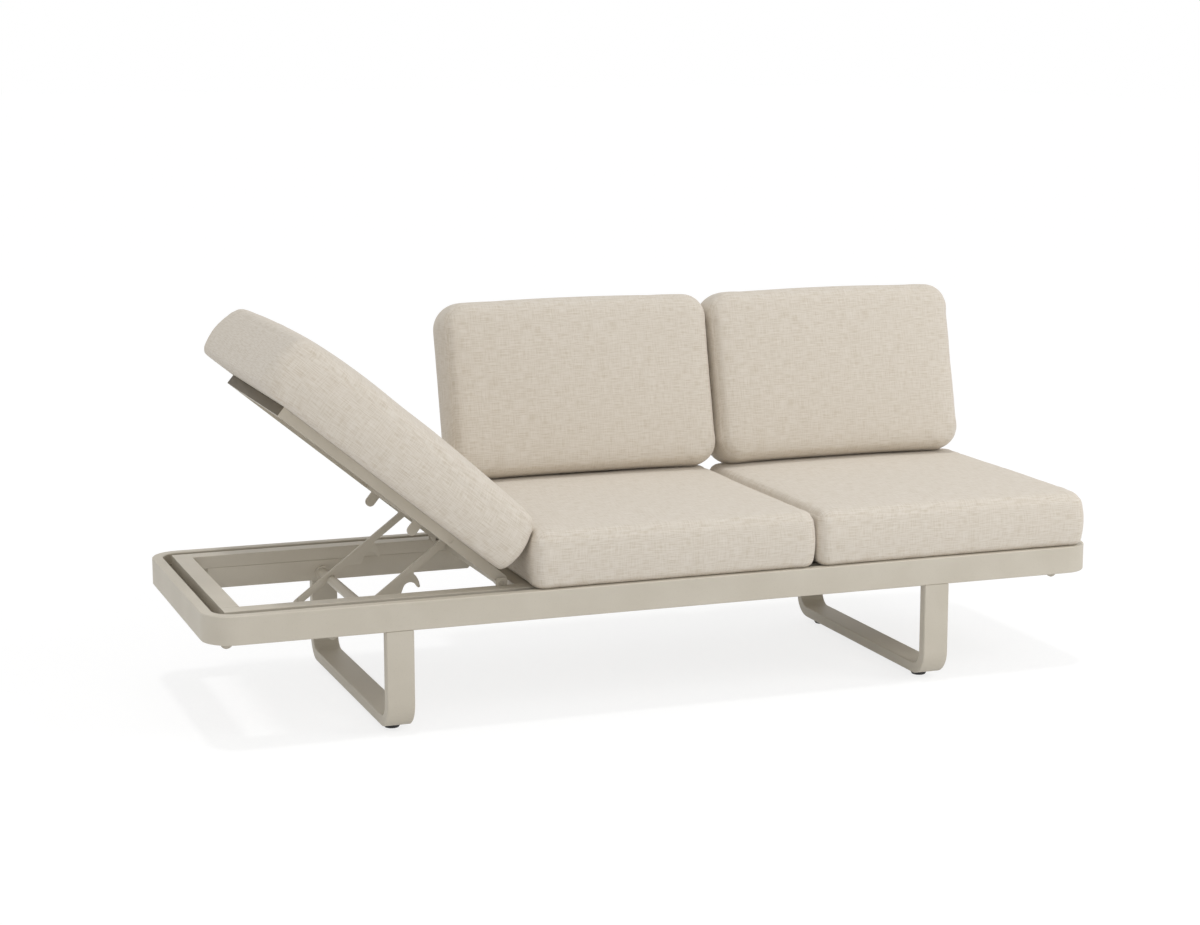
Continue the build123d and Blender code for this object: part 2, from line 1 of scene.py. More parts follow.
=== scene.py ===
import math
import bmesh
import bpy
import numpy as np
from mathutils import Matrix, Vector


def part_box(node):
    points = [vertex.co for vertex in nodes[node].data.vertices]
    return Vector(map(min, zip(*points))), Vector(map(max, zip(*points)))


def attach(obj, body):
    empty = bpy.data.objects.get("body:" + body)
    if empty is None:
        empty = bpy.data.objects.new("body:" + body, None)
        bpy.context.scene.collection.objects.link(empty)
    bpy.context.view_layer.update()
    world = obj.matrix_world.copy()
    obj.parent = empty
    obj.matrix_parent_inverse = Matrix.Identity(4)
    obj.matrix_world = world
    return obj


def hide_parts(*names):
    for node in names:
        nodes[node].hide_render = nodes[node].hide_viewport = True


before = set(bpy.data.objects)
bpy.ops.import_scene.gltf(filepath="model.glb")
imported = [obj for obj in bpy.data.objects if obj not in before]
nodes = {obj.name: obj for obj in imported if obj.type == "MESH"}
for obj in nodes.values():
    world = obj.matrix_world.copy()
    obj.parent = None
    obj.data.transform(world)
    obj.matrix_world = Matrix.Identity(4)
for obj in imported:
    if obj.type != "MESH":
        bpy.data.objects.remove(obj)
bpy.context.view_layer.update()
print("frame loaded,", len(nodes), "nodes")


# Shader maths: a wired socket that takes part in plain Python expressions
class Wire:
    def __init__(self, shader, socket):
        self.shader, self.socket = shader, socket

    def math(self, operation, other=0.0, swapped=False):
        first, second = (other, self) if swapped else (self, other)
        return self.shader.node("ShaderNodeMath", {"operation": operation}, {0: first, 1: second})

    def __add__(self, other):
        return self.math("ADD", other)

    def __radd__(self, other):
        return self.math("ADD", other, True)

    def __sub__(self, other):
        return self.math("SUBTRACT", other)

    def __rsub__(self, other):
        return self.math("SUBTRACT", other, True)

    def __mul__(self, other):
        return self.math("MULTIPLY", other)

    def __rmul__(self, other):
        return self.math("MULTIPLY", other, True)

    def __abs__(self):
        return self.math("ABSOLUTE")


class Shader:
    def __init__(self, owner):  # a new material or the world
        owner.use_nodes = True
        self.owner, self.tree = owner, owner.node_tree
        self.tree.nodes.clear()

    def node(self, kind, settings=None, links=None, out=0):  # settings go in before the sockets
        made = self.tree.nodes.new(kind)
        for key, value in (settings or {}).items():
            setattr(made, key, value)
        for key, value in (links or {}).items():
            if isinstance(value, Wire):
                self.tree.links.new(value.socket, made.inputs[key])
            else:
                made.inputs[key].default_value = value
        if isinstance(out, tuple):
            return [Wire(self, made.outputs[key]) for key in out]
        return Wire(self, made.outputs[out]) if made.outputs else made

    def blendColour(self, factor, first, second):
        return self.node("ShaderNodeMix", {"data_type": "RGBA"}, {0: factor, 6: first, 7: second}, out=2)

    def blendValue(self, factor, first, second):
        return self.node("ShaderNodeMix", {"data_type": "FLOAT"}, {0: factor, 2: first, 3: second})

    def remap(self, value, span, toLow=0.0, toHigh=1.0):
        return self.node("ShaderNodeMapRange", {"interpolation_type": "SMOOTHSTEP"},
                         {0: value, 1: span[0], 2: span[1], 3: toLow, 4: toHigh})

    def noise(self, where, scale, detail=2.0, roughness=0.5):
        return self.node("ShaderNodeTexNoise", None,
                         {"Vector": where, "Scale": scale, "Detail": detail, "Roughness": roughness})

    def stretch(self, where, scale):  # multiplies each coordinate on its own
        return self.node("ShaderNodeVectorMath", {"operation": "MULTIPLY"}, {0: where, 1: scale})

    def bump(self, height, look):
        return self.node("ShaderNodeBump", None, {"Strength": look["bump"], "Distance": look["bumpDepth"],
                                                  "Height": height})

    def finish(self, surface):
        self.node("ShaderNodeOutputMaterial", None, {"Surface": surface})
        return self.owner


noiseMean = 0.5  # what a noise texture gives on average
tiny = 1e-6  # keeps a division from meeting zero
white = (1, 1, 1, 1)

# Powder-coated aluminium: fine grain, faint cloudy tone, sparse dark specks, matte
frameCoat = {"colour": (0.560, 0.512, 0.425, 1), "worn": (0.600, 0.552, 0.465, 1),
             "cloud": 7.0, "cloudDetail": 3.0, "cloudSpan": (0.3, 0.75), "cloudRoughness": 0.10,
             "grain": 900.0, "grainDetail": 2.0, "grainBreak": 0.6, "grainRoughness": 0.12,
             "speckShare": 0.35, "speckDetail": 1.0, "speckSpan": (0.60, 0.78), "speckStrength": 0.10,
             "speckRelief": 0.5,
             "speckColour": (0.30, 0.27, 0.22, 1), "roughness": 0.52, "bump": 0.10, "bumpDepth": 0.0004}


def powderCoat(name, look):
    s = Shader(bpy.data.materials.new(name))
    place = s.node("ShaderNodeTexCoord", out=3)
    cloud = s.noise(place, look["cloud"], look["cloudDetail"])
    grain = s.noise(place, look["grain"], look["grainDetail"], look["grainBreak"])
    speck = s.noise(place, look["grain"] * look["speckShare"], look["speckDetail"])
    colour = s.blendColour(s.remap(cloud, look["cloudSpan"]), look["colour"], look["worn"])
    colour = s.blendColour(s.remap(speck, look["speckSpan"], 0.0, look["speckStrength"]),
                           colour, look["speckColour"])
    rough = (look["roughness"] + (cloud - noiseMean) * look["cloudRoughness"]
             + (grain - noiseMean) * look["grainRoughness"])
    return s.finish(s.node("ShaderNodeBsdfPrincipled", None, {
        "Base Color": colour, "Roughness": rough, "Metallic": 0.0,
        "Normal": s.bump(grain + speck * look["speckRelief"], look)}))


coat = powderCoat("greige_powder_coat", frameCoat)
boltCoat = powderCoat("coated_bolt", {**frameCoat, "colour": (0.44, 0.40, 0.33, 1),
                                      "worn": (0.50, 0.46, 0.38, 1), "roughness": 0.42})
print("frame finish made")

# Moulded glides: black, slightly mottled
glideLook = {"colour": (0.012, 0.012, 0.012, 1), "light": (0.035, 0.034, 0.032, 1), "mottle": 240.0,
             "mottleDetail": 3.0, "mottleSpan": (0.35, 0.75), "mottleRoughness": 0.2, "roughness": 0.55,
             "bump": 0.15, "bumpDepth": 0.0003}


def mouldedPlastic(name, look):
    s = Shader(bpy.data.materials.new(name))
    mottle = s.noise(s.node("ShaderNodeTexCoord", out=3), look["mottle"], look["mottleDetail"])
    colour = s.blendColour(s.remap(mottle, look["mottleSpan"]), look["colour"], look["light"])
    return s.finish(s.node("ShaderNodeBsdfPrincipled", None, {
        "Base Color": colour, "Normal": s.bump(mottle, look),
        "Roughness": look["roughness"] + (mottle - noiseMean) * look["mottleRoughness"]}))


ownFinish = {"leg_glides": mouldedPlastic("black_glide_plastic", glideLook),
             "hinge_bolts": boltCoat, "back_frame_bolts": boltCoat}
for name, node in nodes.items():
    if not name.endswith("cushion"):
        node.data.materials.clear()
        node.data.materials.append(ownFinish.get(name, coat))
print("finishes on the CAD nodes")

baseY = -0.0564513  # the middle of the base, front to rear

# Slub linen weave, laid flat on each panel and turned at the seams
linen = {"pale": (0.724, 0.668, 0.590, 1), "mid": (0.645, 0.582, 0.494, 1), "dark": (0.585, 0.514, 0.416, 1),
         "yarn": 0.0024, "slub": 0.034, "thread": 0.0013, "fleck": 420.0, "yarnDetail": 1.0,
         "weftShare": 0.58, "warpShare": 0.38, "fleckShare": 0.04,
         "darkSpan": (0.28, 0.54), "paleSpan": (0.36, 0.70),
         "cloud": 6.0, "cloudSpan": (0.35, 0.70), "cloudStrength": 0.08,
         "turnSpan": (-0.25, 0.25), "seamWidth": 0.0022, "seamShade": 0.20,
         "roughness": 0.93, "toneRoughness": 0.15, "sheen": 0.12, "sheenRoughness": 0.6,
         "bump": 0.10, "bumpDepth": 0.0014, "toneRelief": 1.2, "threadRelief": 0.10, "seamRelief": 0.9}


def linenCloth(name, turn, centre, halfDepth, look):
    s = Shader(bpy.data.materials.new(name))
    place = s.node("ShaderNodeTexCoord", out=3)
    local = s.node("ShaderNodeMapping", {"vector_type": "TEXTURE"},
                   {"Vector": place, "Location": centre, "Rotation": turn})
    x, y, z = s.node("ShaderNodeSeparateXYZ", None, {0: local}, out=(0, 1, 2))
    # metres past each seam, from the cushion's own attributes
    upper = s.node("ShaderNodeAttribute", {"attribute_name": "seam"}, out=2)
    lower = s.node("ShaderNodeAttribute", {"attribute_name": "lowerSeam"}, out=2)
    side = upper.math("MAXIMUM", lower).math("LESS_THAN", 0.0)
    # on a side the cloth runs on round the corners
    roundSide = x + s.remap(x, look["turnSpan"], -1.0, 1.0) * (halfDepth - abs(y))
    across = s.blendValue(side, x, roundSide)
    along = s.blendValue(side, y, z)
    flat = s.node("ShaderNodeCombineXYZ", None, {0: across, 1: along, 2: 0.0})
    # long thin streaks for each run of the yarn, crossed, over a fine even weave
    thin, long = 1 / look["yarn"], 1 / look["slub"]
    weft = s.noise(s.stretch(flat, (long, thin, 1.0)), 1.0, look["yarnDetail"])
    warp = s.noise(s.stretch(flat, (thin, long, 1.0)), 1.0, look["yarnDetail"])
    fleck = s.noise(flat, look["fleck"], look["yarnDetail"])
    cloud = s.noise(flat, look["cloud"])
    pitch = math.pi / look["thread"]
    threads = (across * pitch).math("SINE") * (along * pitch).math("SINE")
    tone = weft * look["weftShare"] + warp * look["warpShare"] + fleck * look["fleckShare"]
    colour = s.blendColour(s.remap(tone, look["darkSpan"]), look["dark"], look["mid"])
    colour = s.blendColour(s.remap(tone, look["paleSpan"]), colour, look["pale"])
    colour = s.blendColour(s.remap(cloud, look["cloudSpan"], 0.0, look["cloudStrength"]), colour, look["mid"])
    seamSpan = (0.0, look["seamWidth"])
    crease = s.remap(abs(upper), seamSpan, 1.0, 0.0).math("MAXIMUM", s.remap(abs(lower), seamSpan, 1.0, 0.0))
    # painted shade: the cloth's colour darkens towards the dark tone along each seam's crease
    colour = s.blendColour(crease * look["seamShade"], colour, look["dark"])
    height = tone * look["toneRelief"] + threads * look["threadRelief"] - crease * look["seamRelief"]
    return s.finish(s.node("ShaderNodeBsdfPrincipled", None, {
        "Base Color": colour, "Normal": s.bump(height, look),
        "Roughness": look["roughness"] + (tone - noiseMean) * look["toneRoughness"],
        "Sheen Weight": look["sheen"], "Sheen Roughness": look["sheenRoughness"]}))


# Share of the crown at a place: one less a power of the distance from the middle, both ways,
# with fuller powers to the head and the rear
def crownShare(c, u, v):
    longPower = np.where(u > 0, c["headPower"], c["crownPower"])
    widePower = np.where(v > 0, c["rearPower"], c["crownPower"])
    return (1 - np.clip(np.abs(u), 0, 1) ** longPower) * (1 - np.clip(np.abs(v), 0, 1) ** widePower)


# How many steps the plain cushion has round a corner, along a side, round an edge, up the side,
# over the top panel and over the underside
cushionGrid = {"corner": 13, "side": 40, "edge": 9, "rise": 9, "top": 25, "under": 13}

# Shares that all cushions have in common: where the innermost ring stops, how much of the inset the
# corner radius loses, its least size, and how far from the middle the lift at the head is complete
cushionShares = {"innermost": 0.999, "cornerLoss": 0.25, "leastCorner": 0.2, "headReach": 0.35}


# Cushions: a profile of inset and lift carried round a plan outline with round corners. Each outline
# point is its corner's sign times (half size - corner), plus its outward direction times (corner - pull *
# share of the side's middle). The profile goes from the bottom centre round the bottom edge, up the
# side, round the top edge and over the crown to the top centre.
def cushionSurface(c):
    steps, shares = cushionGrid, cushionShares
    turns = np.linspace(0, math.pi / 2, steps["corner"])
    share = (np.linspace(-1, 1, steps["side"] + 2)[1:-1, None] + 1) / 2
    cornerSigns = np.array([(1, -1), (1, 1), (-1, 1), (-1, -1)], float)
    signs, ways = [], []
    for k, cornerSign in enumerate(cornerSigns):
        base = (k - 1) * math.pi / 2
        outward = base + math.pi / 2
        ways.append(np.stack([np.cos(base + turns), np.sin(base + turns)], 1))
        signs.append(np.tile(cornerSign, (len(turns), 1)))
        signs.append(cornerSign * (1 - share) + cornerSigns[(k + 1) % 4] * share)
        ways.append(np.tile([math.cos(outward), math.sin(outward)], (len(share), 1)))
    signs, ways = np.concatenate(signs), np.concatenate(ways)
    half = np.array([c["length"], c["width"]]) / 2
    reach = half.min()
    centre = reach * shares["innermost"]
    quarter = np.linspace(0, math.pi / 2, steps["edge"])
    foot, edge, bulge = c["foot"], c["edge"], c["bulge"]
    sideLow, sideHigh = foot, c["height"] - edge
    sideRise = np.linspace(0, 1, steps["rise"] + 2)[1:-1]
    over = np.linspace(0, 1, steps["top"] + 1)[1:] * (reach - edge - bulge) + edge + bulge
    inset = np.concatenate([
        np.linspace(centre, foot + bulge, steps["under"] + 1)[:-1],
        bulge + foot * (1 - np.sin(quarter)),
        bulge * (1 - np.sin(sideRise * math.pi)),
        bulge + edge * (1 - np.cos(quarter)),
        np.minimum(over, centre)])
    lift = np.concatenate([
        np.zeros(steps["under"]),
        foot * (1 - np.cos(quarter)),
        sideLow + sideRise * (sideHigh - sideLow),
        c["height"] - edge + edge * np.sin(quarter),
        np.full(steps["top"], c["height"])])
    size = half[None, None, :] - inset[:, None, None]
    corner = np.maximum(c["corner"] - inset * shares["cornerLoss"], shares["leastCorner"] * c["corner"])
    corner = np.minimum(corner[:, None, None], size.min(2, keepdims=True))
    middle = (1 - np.minimum(signs[:, :1] ** 2, signs[:, 1:] ** 2))[None]
    fade = np.clip(size.min(2, keepdims=True) / reach, 0, 1)
    resting = np.clip(-ways[:, 1:], 0, 1)[None] * c["rests"]  # 1 along a side that lies on something
    pull = np.abs(ways) @ np.array([c["pull"], c["pullLong"]])
    flat = signs[None] * (size - corner) + ways[None] * (
        corner - pull[None, :, None] * middle * fade * (1 - resting))
    u, v = flat[..., 0] / half[0], flat[..., 1] / half[1]
    high = np.clip((lift[:, None] - sideHigh) / edge, 0, 1)
    head = np.clip(u / shares["headReach"], 0, 1)
    headRise = c["headLift"] * head * head * (3 - 2 * head)
    rise = lift[:, None] + (c["crown"] * crownShare(c, u, v) + headRise) * high
    return np.concatenate([flat, rise[..., None]], 2)


# Rings of points joined level by level, with one point closing each end
def gridMesh(name, points):
    levels, count = points.shape[:2]
    spots = np.concatenate([points.reshape(-1, 3), points[0].mean(0)[None], points[-1].mean(0)[None]])
    ring = np.arange(count)
    after = (ring + 1) % count
    row = np.arange(levels - 1)[:, None] * count
    quads = np.stack([row + ring, row + after, row + count + after, row + count + ring], -1).reshape(-1, 4)
    last = (levels - 1) * count
    lowEnd = np.stack([np.full(count, levels * count), after, ring], 1)
    highEnd = np.stack([np.full(count, levels * count + 1), last + ring, last + after], 1)
    mesh = bpy.data.meshes.new(name)
    mesh.from_pydata(spots.tolist(), [], quads.tolist() + lowEnd.tolist() + highEnd.tolist())
    mesh.validate()
    piece = bpy.data.objects.new(name, mesh)
    bpy.context.scene.collection.objects.link(piece)
    return piece


def readPoints(mesh):
    points = np.zeros(len(mesh.vertices) * 3, np.float32)
    mesh.vertices.foreach_get("co", points)
    return points.reshape(-1, 3).astype(float)


def writePoints(mesh, points):
    mesh.vertices.foreach_set("co", points.astype(np.float32).ravel())
    mesh.update()


def bake(piece):  # replaces the mesh with the modified one, and drops the modifiers
    bpy.context.view_layer.update()
    mesh = bpy.data.meshes.new_from_object(piece.evaluated_get(bpy.context.evaluated_depsgraph_get()))
    piece.modifiers.clear()
    old = piece.data
    piece.data = mesh
    bpy.data.meshes.remove(old)


stuffing = {"voxel": 0.0085, "pressure": 4.0, "quality": 4, "frames": 20, "cap": 0.024, "share": 0.28}


# Cloth under inner pressure without gravity: each point's move is cut to the cap and then shared
def inflate(piece, look):
    remesh = piece.modifiers.new("grid", "REMESH")
    remesh.mode, remesh.voxel_size = "VOXEL", look["voxel"]
    bake(piece)
    rest = readPoints(piece.data)
    cover = piece.modifiers.new("cover", "CLOTH")
    cover.settings.quality = look["quality"]
    cover.settings.use_pressure = True
    cover.settings.uniform_pressure_force = look["pressure"]
    cover.settings.effector_weights.gravity = 0
    cover.point_cache.frame_end = look["frames"]
    for step in range(1, look["frames"] + 1):
        bpy.context.scene.frame_set(step)
    blown = readPoints(piece.evaluated_get(bpy.context.evaluated_depsgraph_get()).data)
    bpy.context.scene.frame_set(1)
    piece.modifiers.clear()
    move = blown - rest
    far = np.linalg.norm(move, axis=1, keepdims=True)
    move *= look["share"] * np.minimum(1, look["cap"] / np.maximum(far, tiny))
    writePoints(piece.data, rest + move)


# Arc distance past a seam: round the edge it is the radius times the angle past the seam's angle, and
# beyond the edge it grows straight, down the side or over the panel
def seamDistance(points, c, level, upper):
    half = np.array([c["length"], c["width"]]) / 2
    q = np.abs(points[:, :2]) - (half - c["corner"])
    outside = np.linalg.norm(np.maximum(q, 0), axis=1) + np.minimum(q.max(1), 0)
    inset = c["corner"] - outside
    edge = c["edge"] if upper else c["foot"]
    lift = points[:, 2] - (c["height"] - edge) if upper else edge - points[:, 2]
    back = edge + c["bulge"] - inset
    angle = np.arctan2(np.maximum(lift, 0), np.maximum(back, tiny))
    arc = np.where(lift < 0, lift, np.where(back < 0, edge * math.pi / 2 - back, edge * angle))
    return arc - edge * math.radians(level)


# Height of the two seat cushions: the base height and the crown, less the roll along the edges, which
# is a quarter circle over the last part of the way out
def seatTop(x, y):
    height = np.zeros_like(x)
    for c in (leftSeat, rightSeat):
        half = np.array([c["length"], c["width"]]) / 2
        u, v = (x - c["base"][0]) / half[0], (y - c["base"][1]) / half[1]
        left = np.minimum(half[0] * (1 - np.abs(u)), half[1] * (1 - np.abs(v)))  # to the nearest side
        past = np.clip(1 - left / c["edge"], 0, 1)
        roll = c["edge"] * (1 - np.sqrt(1 - past ** 2))
        level = c["base"][2] + c["height"] + c["crown"] * crownShare(c, u, v) - roll
        height = np.maximum(height, np.where(left > 0, level, 0))
    return height


# What the stuffing and use do to each cushion, in metres where a value is a length
wear = {"waves": (9, 8, 21, 17), "fineShare": 0.5, "cornerReach": 0.085, "cornerPower": 1.5,
        "seamReach": 0.006, "lowerSeamShare": 0.6, "sideShare": 0.25, "restGap": 0.0008}


# The inflated form brought back to its own sizes: stretched in plan, its crown pressed to its height,
# with low sine waves for slack cloth, a sagging free front corner and a lower half that settles
def settleCushion(p, c, goalLow, goalHigh):
    p[:, 2] = np.maximum(p[:, 2], 0)  # flat where it rests
    low, high = p.min(0), p.max(0)
    p[:, :2] = goalLow[:2] + (p[:, :2] - low[:2]) / (high[:2] - low[:2]) * (goalHigh[:2] - goalLow[:2])
    above = np.maximum(p[:, 2] - c["height"], 0)
    p[:, 2] += above * ((goalHigh[2] - c["height"]) / (high[2] - c["height"]) - 1)
    k, (a, b, fineA, fineB) = c["seed"], wear["waves"]
    coarse = np.sin(p[:, 0] * a + k) * np.sin(p[:, 1] * b + 2 * k)
    fine = np.sin(p[:, 0] * fineA + 3 * k) * np.sin(p[:, 1] * fineB + k)
    upShare = np.clip(p[:, 2] / goalHigh[2], 0, 1) ** 2
    p[:, 2] += c["slack"] * (coarse + wear["fineShare"] * fine) * upShare
    p[:, 2] = np.minimum(p[:, 2], goalHigh[2])
    fromCorner = np.hypot(c["length"] / 2 - p[:, 0], c["width"] / 2 + p[:, 1])
    upShare = np.clip(p[:, 2] / goalHigh[2], 0, 1) ** 2
    cornerShare = np.clip(1 - fromCorner / wear["cornerReach"], 0, 1) ** wear["cornerPower"]
    p[:, 2] -= c["droop"] * cornerShare * upShare
    p[:, 1] -= c["sink"] * np.clip(-p[:, 1] / (c["width"] / 2), 0, 1) ** 2
    return p


# One finished cushion: the plain surface is inflated and settled, gets a bell-shaped valley along each
# seam, is turned to its own axes from its base point, and then gets its cloth
def makeCushion(name, c, node, body):
    points = cushionSurface(c)
    piece = gridMesh(name, points)
    inflate(piece, stuffing)
    p = settleCushion(readPoints(piece.data), c, points.min((0, 1)), points.max((0, 1)))
    writePoints(piece.data, p)
    smooth = piece.modifiers.new("round", "SUBSURF")
    smooth.levels = smooth.render_levels = 1
    bake(piece)
    p = readPoints(piece.data)
    upper = seamDistance(p, c, c["seamAngle"], True)
    lower = seamDistance(p, c, c["lowerSeamAngle"], False)
    for title, values in (("seam", upper), ("lowerSeam", lower)):
        attribute = piece.data.attributes.new(title, "FLOAT", "POINT")
        attribute.data.foreach_set("value", values.astype(np.float32))
    # a shallow valley along each seam, pulled towards the cushion's middle
    valley = c["valley"] * (np.exp(-(upper / wear["seamReach"]) ** 2)
                            + wear["lowerSeamShare"] * np.exp(-(lower / wear["seamReach"]) ** 2))
    inward = np.array([0, 0, c["height"] / 2]) - p
    inward[:, :2] *= wear["sideShare"]
    inward /= np.maximum(np.linalg.norm(inward, axis=1, keepdims=True), tiny)
    p = p + inward * valley[:, None]
    turn = np.array(c["axes"], float).T  # columns are the cushion's own x, y and z
    world = p @ turn.T + np.array(c["base"], float)
    if c["rests"]:  # pressed flat where it lies on the seat
        world[:, 2] = np.maximum(world[:, 2], seatTop(world[:, 0], world[:, 1]) + wear["restGap"])
    writePoints(piece.data, world)
    piece.data.shade_smooth()
    piece.data.materials.clear()
    piece.data.materials.append(linenCloth("linen_" + name, tuple(Matrix(turn.tolist()).to_euler()),
                                           tuple(c["base"]), c["width"] / 2, linen))
    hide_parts(node)
    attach(piece, body)
    print("cushion", name, len(piece.data.polygons), "faces")


# Each cushion's x runs along its length, its y across and its z out of the crowned face
plainCushion = {"pull": 0.003, "pullLong": 0.003, "bulge": 0.004, "crownPower": 2.4, "headPower": 2.4,
                "rearPower": 2.4, "headLift": 0.0, "seamAngle": 42, "lowerSeamAngle": 30, "valley": 0.0016,
                "slack": 0.0008, "rests": 0, "sink": 0.0, "droop": 0.0, "fill": 0.85}
seatPlace = {"forward": 0.002, "underside": 0.3203}  # from the middle of the base and from the floor
seatY, seatZ = baseY - seatPlace["forward"], seatPlace["underside"]

leftSeat = {**plainCushion, "length": 0.7415, "width": 0.756, "height": 0.137, "crown": 0.009,
            "edge": 0.024, "foot": 0.011, "corner": 0.032, "rearPower": 24.0, "seamAngle": 34, "seed": 1.0,
            "base": (0.00075, seatY, seatZ), "axes": [(1, 0, 0), (0, 1, 0), (0, 0, 1)]}
rightSeat = {**leftSeat, "length": 0.758, "base": (0.751, seatY, seatZ), "seed": 2.3, "droop": 0.014}

# The back frames' face above their bend: where it starts, from the base's middle, and how it leans
backFrame = {"lean": math.radians(13.5), "behind": 0.380, "bend": 0.440, "gap": 0.0003, "lift": 0.239}
backUp = (0, math.sin(backFrame["lean"]), math.cos(backFrame["lean"]))
backFace = (0, -math.cos(backFrame["lean"]), math.sin(backFrame["lean"]))
backY = baseY + backFrame["behind"] + backFrame["lift"] * backUp[1] + backFrame["gap"] * backFace[1]
backZ = backFrame["bend"] + backFrame["lift"] * backUp[2]

leftBack = {**plainCushion, "length": 0.7495, "width": 0.466, "height": 0.138, "crown": 0.014,
            "edge": 0.032, "foot": 0.016, "corner": 0.064, "pull": 0.0, "pullLong": -0.007,
            "slack": 0.0014, "valley": 0.0010, "rests": 1, "sink": 0.001, "seed": 3.1,
            "base": (0.00325, backY, backZ), "axes": [(1, 0, 0), backUp, backFace]}
rightBack = {**leftBack, "length": 0.7305, "base": (0.74375, backY, backZ), "seed": 4.2}

# The recliner's hinge line and how far the frame is up at rest
recliner = {"hinge": (-0.421, 0.326), "up": math.radians(39.5)}
alongRecliner = (-math.cos(recliner["up"]), 0, math.sin(recliner["up"]))
overRecliner = (math.sin(recliner["up"]), 0, math.cos(recliner["up"]))


def onRecliner(along, over):  # a point that far from the hinge along the frame, and that far above it
    return tuple(start + along * a + over * b for start, a, b in zip(
        (recliner["hinge"][0], baseY, recliner["hinge"][1]), alongRecliner, overRecliner))


reclineCushion = {**plainCushion, "length": 0.761, "width": 0.740, "height": 0.144, "crown": 0.031,
                  "edge": 0.031, "foot": 0.006, "bulge": 0.008, "corner": 0.042, "headPower": 3.2,
                  "headLift": 0.003, "seamAngle": 34, "seed": 5.4, "fromHinge": 0.024, "overHinge": 0.0203,
                  "axes": [alongRecliner, (0, -1, 0), overRecliner]}
reclineCushion["base"] = onRecliner(reclineCushion["fromHinge"] + reclineCushion["length"] / 2,
                                    reclineCushion["overHinge"])

makeCushion("seat_pad_left", leftSeat, "left_seat_cushion", "sofa_base")
makeCushion("seat_pad_right", rightSeat, "right_seat_cushion", "sofa_base")
makeCushion("back_pad_left", leftBack, "left_back_cushion", "sofa_base")
makeCushion("back_pad_right", rightBack, "right_back_cushion", "sofa_base")
makeCushion("recliner_pad", reclineCushion, "recline_cushion", "recliner")


# What all flat metal pieces share: degrees from point to point of an arc, how close points are merged,
# the steps of a broken edge, and the angle from which an edge is broken and shown sharp
flatMetal = {"arcStep": 7, "merge": 0.0002, "edgeSteps": 2, "sharp": math.radians(40)}


# Each arc (centre x, centre y, radius, first angle, last angle) gives a point every few degrees, and
# straight lines join one arc to the next
def chain(arcs):
    runs = []
    for x, y, radius, first, last in arcs:
        count = max(2, int(abs(last - first) / flatMetal["arcStep"]) + 1)
        turn = np.radians(np.linspace(first, last, count))
        runs.append(np.stack([x + radius * np.cos(turn), y + radius * np.sin(turn)], 1))
    return np.concatenate(runs)


# Each ring's points go to origin plus x times across plus y times along. The area between the rings is
# filled and carried by the depth, square to both directions.
def cutPiece(name, rings, origin, across, along, depth, edge, finish):
    spots, edges, count = [], [], 0
    for ring in rings:
        spots.append(np.array(origin) + ring[:, :1] * np.array(across) + ring[:, 1:] * np.array(along))
        index = np.arange(len(ring))
        edges.append(np.stack([index, (index + 1) % len(ring)], 1) + count)
        count += len(ring)
    mesh = bpy.data.meshes.new(name)
    mesh.from_pydata(np.concatenate(spots).tolist(), np.concatenate(edges).tolist(), [])
    shape = bmesh.new()
    shape.from_mesh(mesh)
    bmesh.ops.remove_doubles(shape, verts=shape.verts[:], dist=flatMetal["merge"])
    bmesh.ops.triangle_fill(shape, use_beauty=True, use_dissolve=False, edges=shape.edges[:])
    moved = bmesh.ops.extrude_face_region(shape, geom=shape.faces[:])["geom"]
    bmesh.ops.translate(shape, verts=[v for v in moved if isinstance(v, bmesh.types.BMVert)],
                        vec=(np.cross(across, along) * depth).tolist())
    bmesh.ops.recalc_face_normals(shape, faces=shape.faces[:])
    shape.to_mesh(mesh)
    shape.free()
    piece = bpy.data.objects.new(name, mesh)
    bpy.context.scene.collection.objects.link(piece)
    broken = piece.modifiers.new("broken_edge", "BEVEL")
    broken.width, broken.segments = edge, flatMetal["edgeSteps"]
    broken.limit_method, broken.angle_limit = "ANGLE", flatMetal["sharp"]
    bake(piece)
    piece.data.materials.clear()
    piece.data.materials.append(finish)
    piece.data.shade_smooth()
    piece.data.set_sharp_from_angle(angle=flatMetal["sharp"])
    return piece


# The arm's own x runs down the bar from the pivot rod, and its y goes square to it, to the hook's side.
# Heel, tip and claw are arcs (x, y, radius) from the middle of the deep seat.
propArm = {"head": 0.012, "rod": 0.006, "neckAt": 0.0155, "neck": 0.005, "barOffset": 0.0245,
           "barHalf": 0.00825, "end": 0.35375, "raisedSeat": (0.25027, 0.03919, 0.013), "seatEdge": 0.0133,
           "flatSeat": (0.1405, 0.0605, 0.018), "shoulderAt": 0.0595, "shoulder": 0.010,
           "heel": (0.0255, -0.0125, 0.006), "tip": (-0.0215, 0.0065, 0.004),
           "claw": (0.0145, -0.0165, 0.0459), "rootAt": -0.0355, "root": 0.005,
           "slope": math.radians(36.9), "pivot": (-0.5433931, 0.4366129), "edge": 0.0008}


